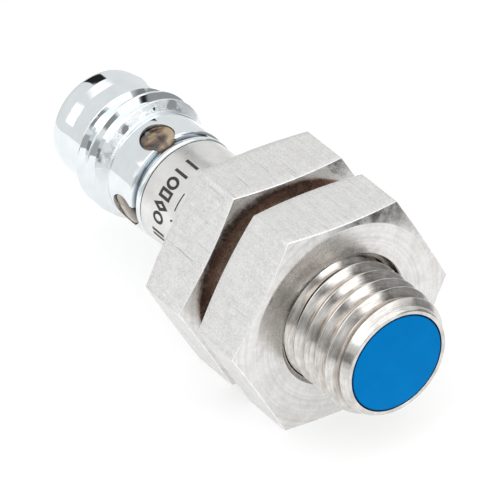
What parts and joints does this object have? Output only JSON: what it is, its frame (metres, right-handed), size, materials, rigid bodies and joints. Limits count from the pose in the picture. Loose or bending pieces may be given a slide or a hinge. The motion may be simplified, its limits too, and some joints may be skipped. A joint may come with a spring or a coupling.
{
  "type": "inductive proximity sensor",
  "caption": "Cylindrical threaded proximity sensor with a flush sensing face, plug connector with indicator windows, and lock nuts.",
  "frame": {"origin": "centre of the sensing face", "axes": "+X out of the sensing face along the barrel, so the body runs back along -X; +Z is the outward normal of an upper flat of both lock nuts"},
  "size_m": [0.0303, 0.015, 0.013],
  "materials": {
    "stainless": "turned and bright",
    "blasted_steel": "satin, fine blasted grain",
    "blue_cap": "satin",
    "chrome": "polished plating",
    "amber": "clear, smoke amber",
    "black_plastic": "moulded",
    "seal_rubber": "matte",
    "gold_contact": "gold plated",
    "brass_ring": "turned",
    "ferrite": "sintered",
    "nylon": "moulded",
    "copper_wire": "enamelled copper",
    "board": "solder mask",
    "chip_moulding": "moulded",
    "chip_ceramic": "fired",
    "led_lens": "clear",
    "liner_film": "thin film",
    "resin": "cast"
  },
  "bodies": {
    "barrel": {"housing_sleeve": "stainless", "sensing_cap": "blue_cap", "connector_shell": "chrome", "light_guide": "amber", "insert_seal": "seal_rubber", "shield_ring": "brass_ring", "coil_bobbin": "nylon", "coil_winding": "copper_wire", "insulating_liner": "liner_film", "connector_insert": "black_plastic", "contact_pin_1": "gold_contact", "contact_pin_3": "gold_contact", "contact_pin_4": "gold_contact", "ferrite_core": "ferrite", "coil_lead_left": "copper_wire", "coil_lead_right": "copper_wire", "circuit_board": "board", "capacitor_tank": "chip_ceramic", "oscillator_chip": "chip_moulding", "output_transistor": "chip_moulding", "resistor_trim": "chip_ceramic", "suppressor_diode": "chip_moulding", "capacitor_input": "chip_ceramic", "resistor_led": "chip_ceramic", "led_upper": "led_lens", "led_lower": "led_lens", "potting_plug": "resin"},
    "front_nut": {"nut_front": "blasted_steel"},
    "rear_nut": {"nut_rear": "blasted_steel"}
  },
  "joints": [
    {"name": "front_nut_travel", "type": "slide", "parent": "barrel", "child": "front_nut", "axis": [1, 0, 0], "range_m": [0, 0.005]},
    {"name": "rear_nut_travel", "type": "slide", "parent": "barrel", "child": "rear_nut", "axis": [1, 0, 0], "range_m": [0, 0.001]}
  ]
}
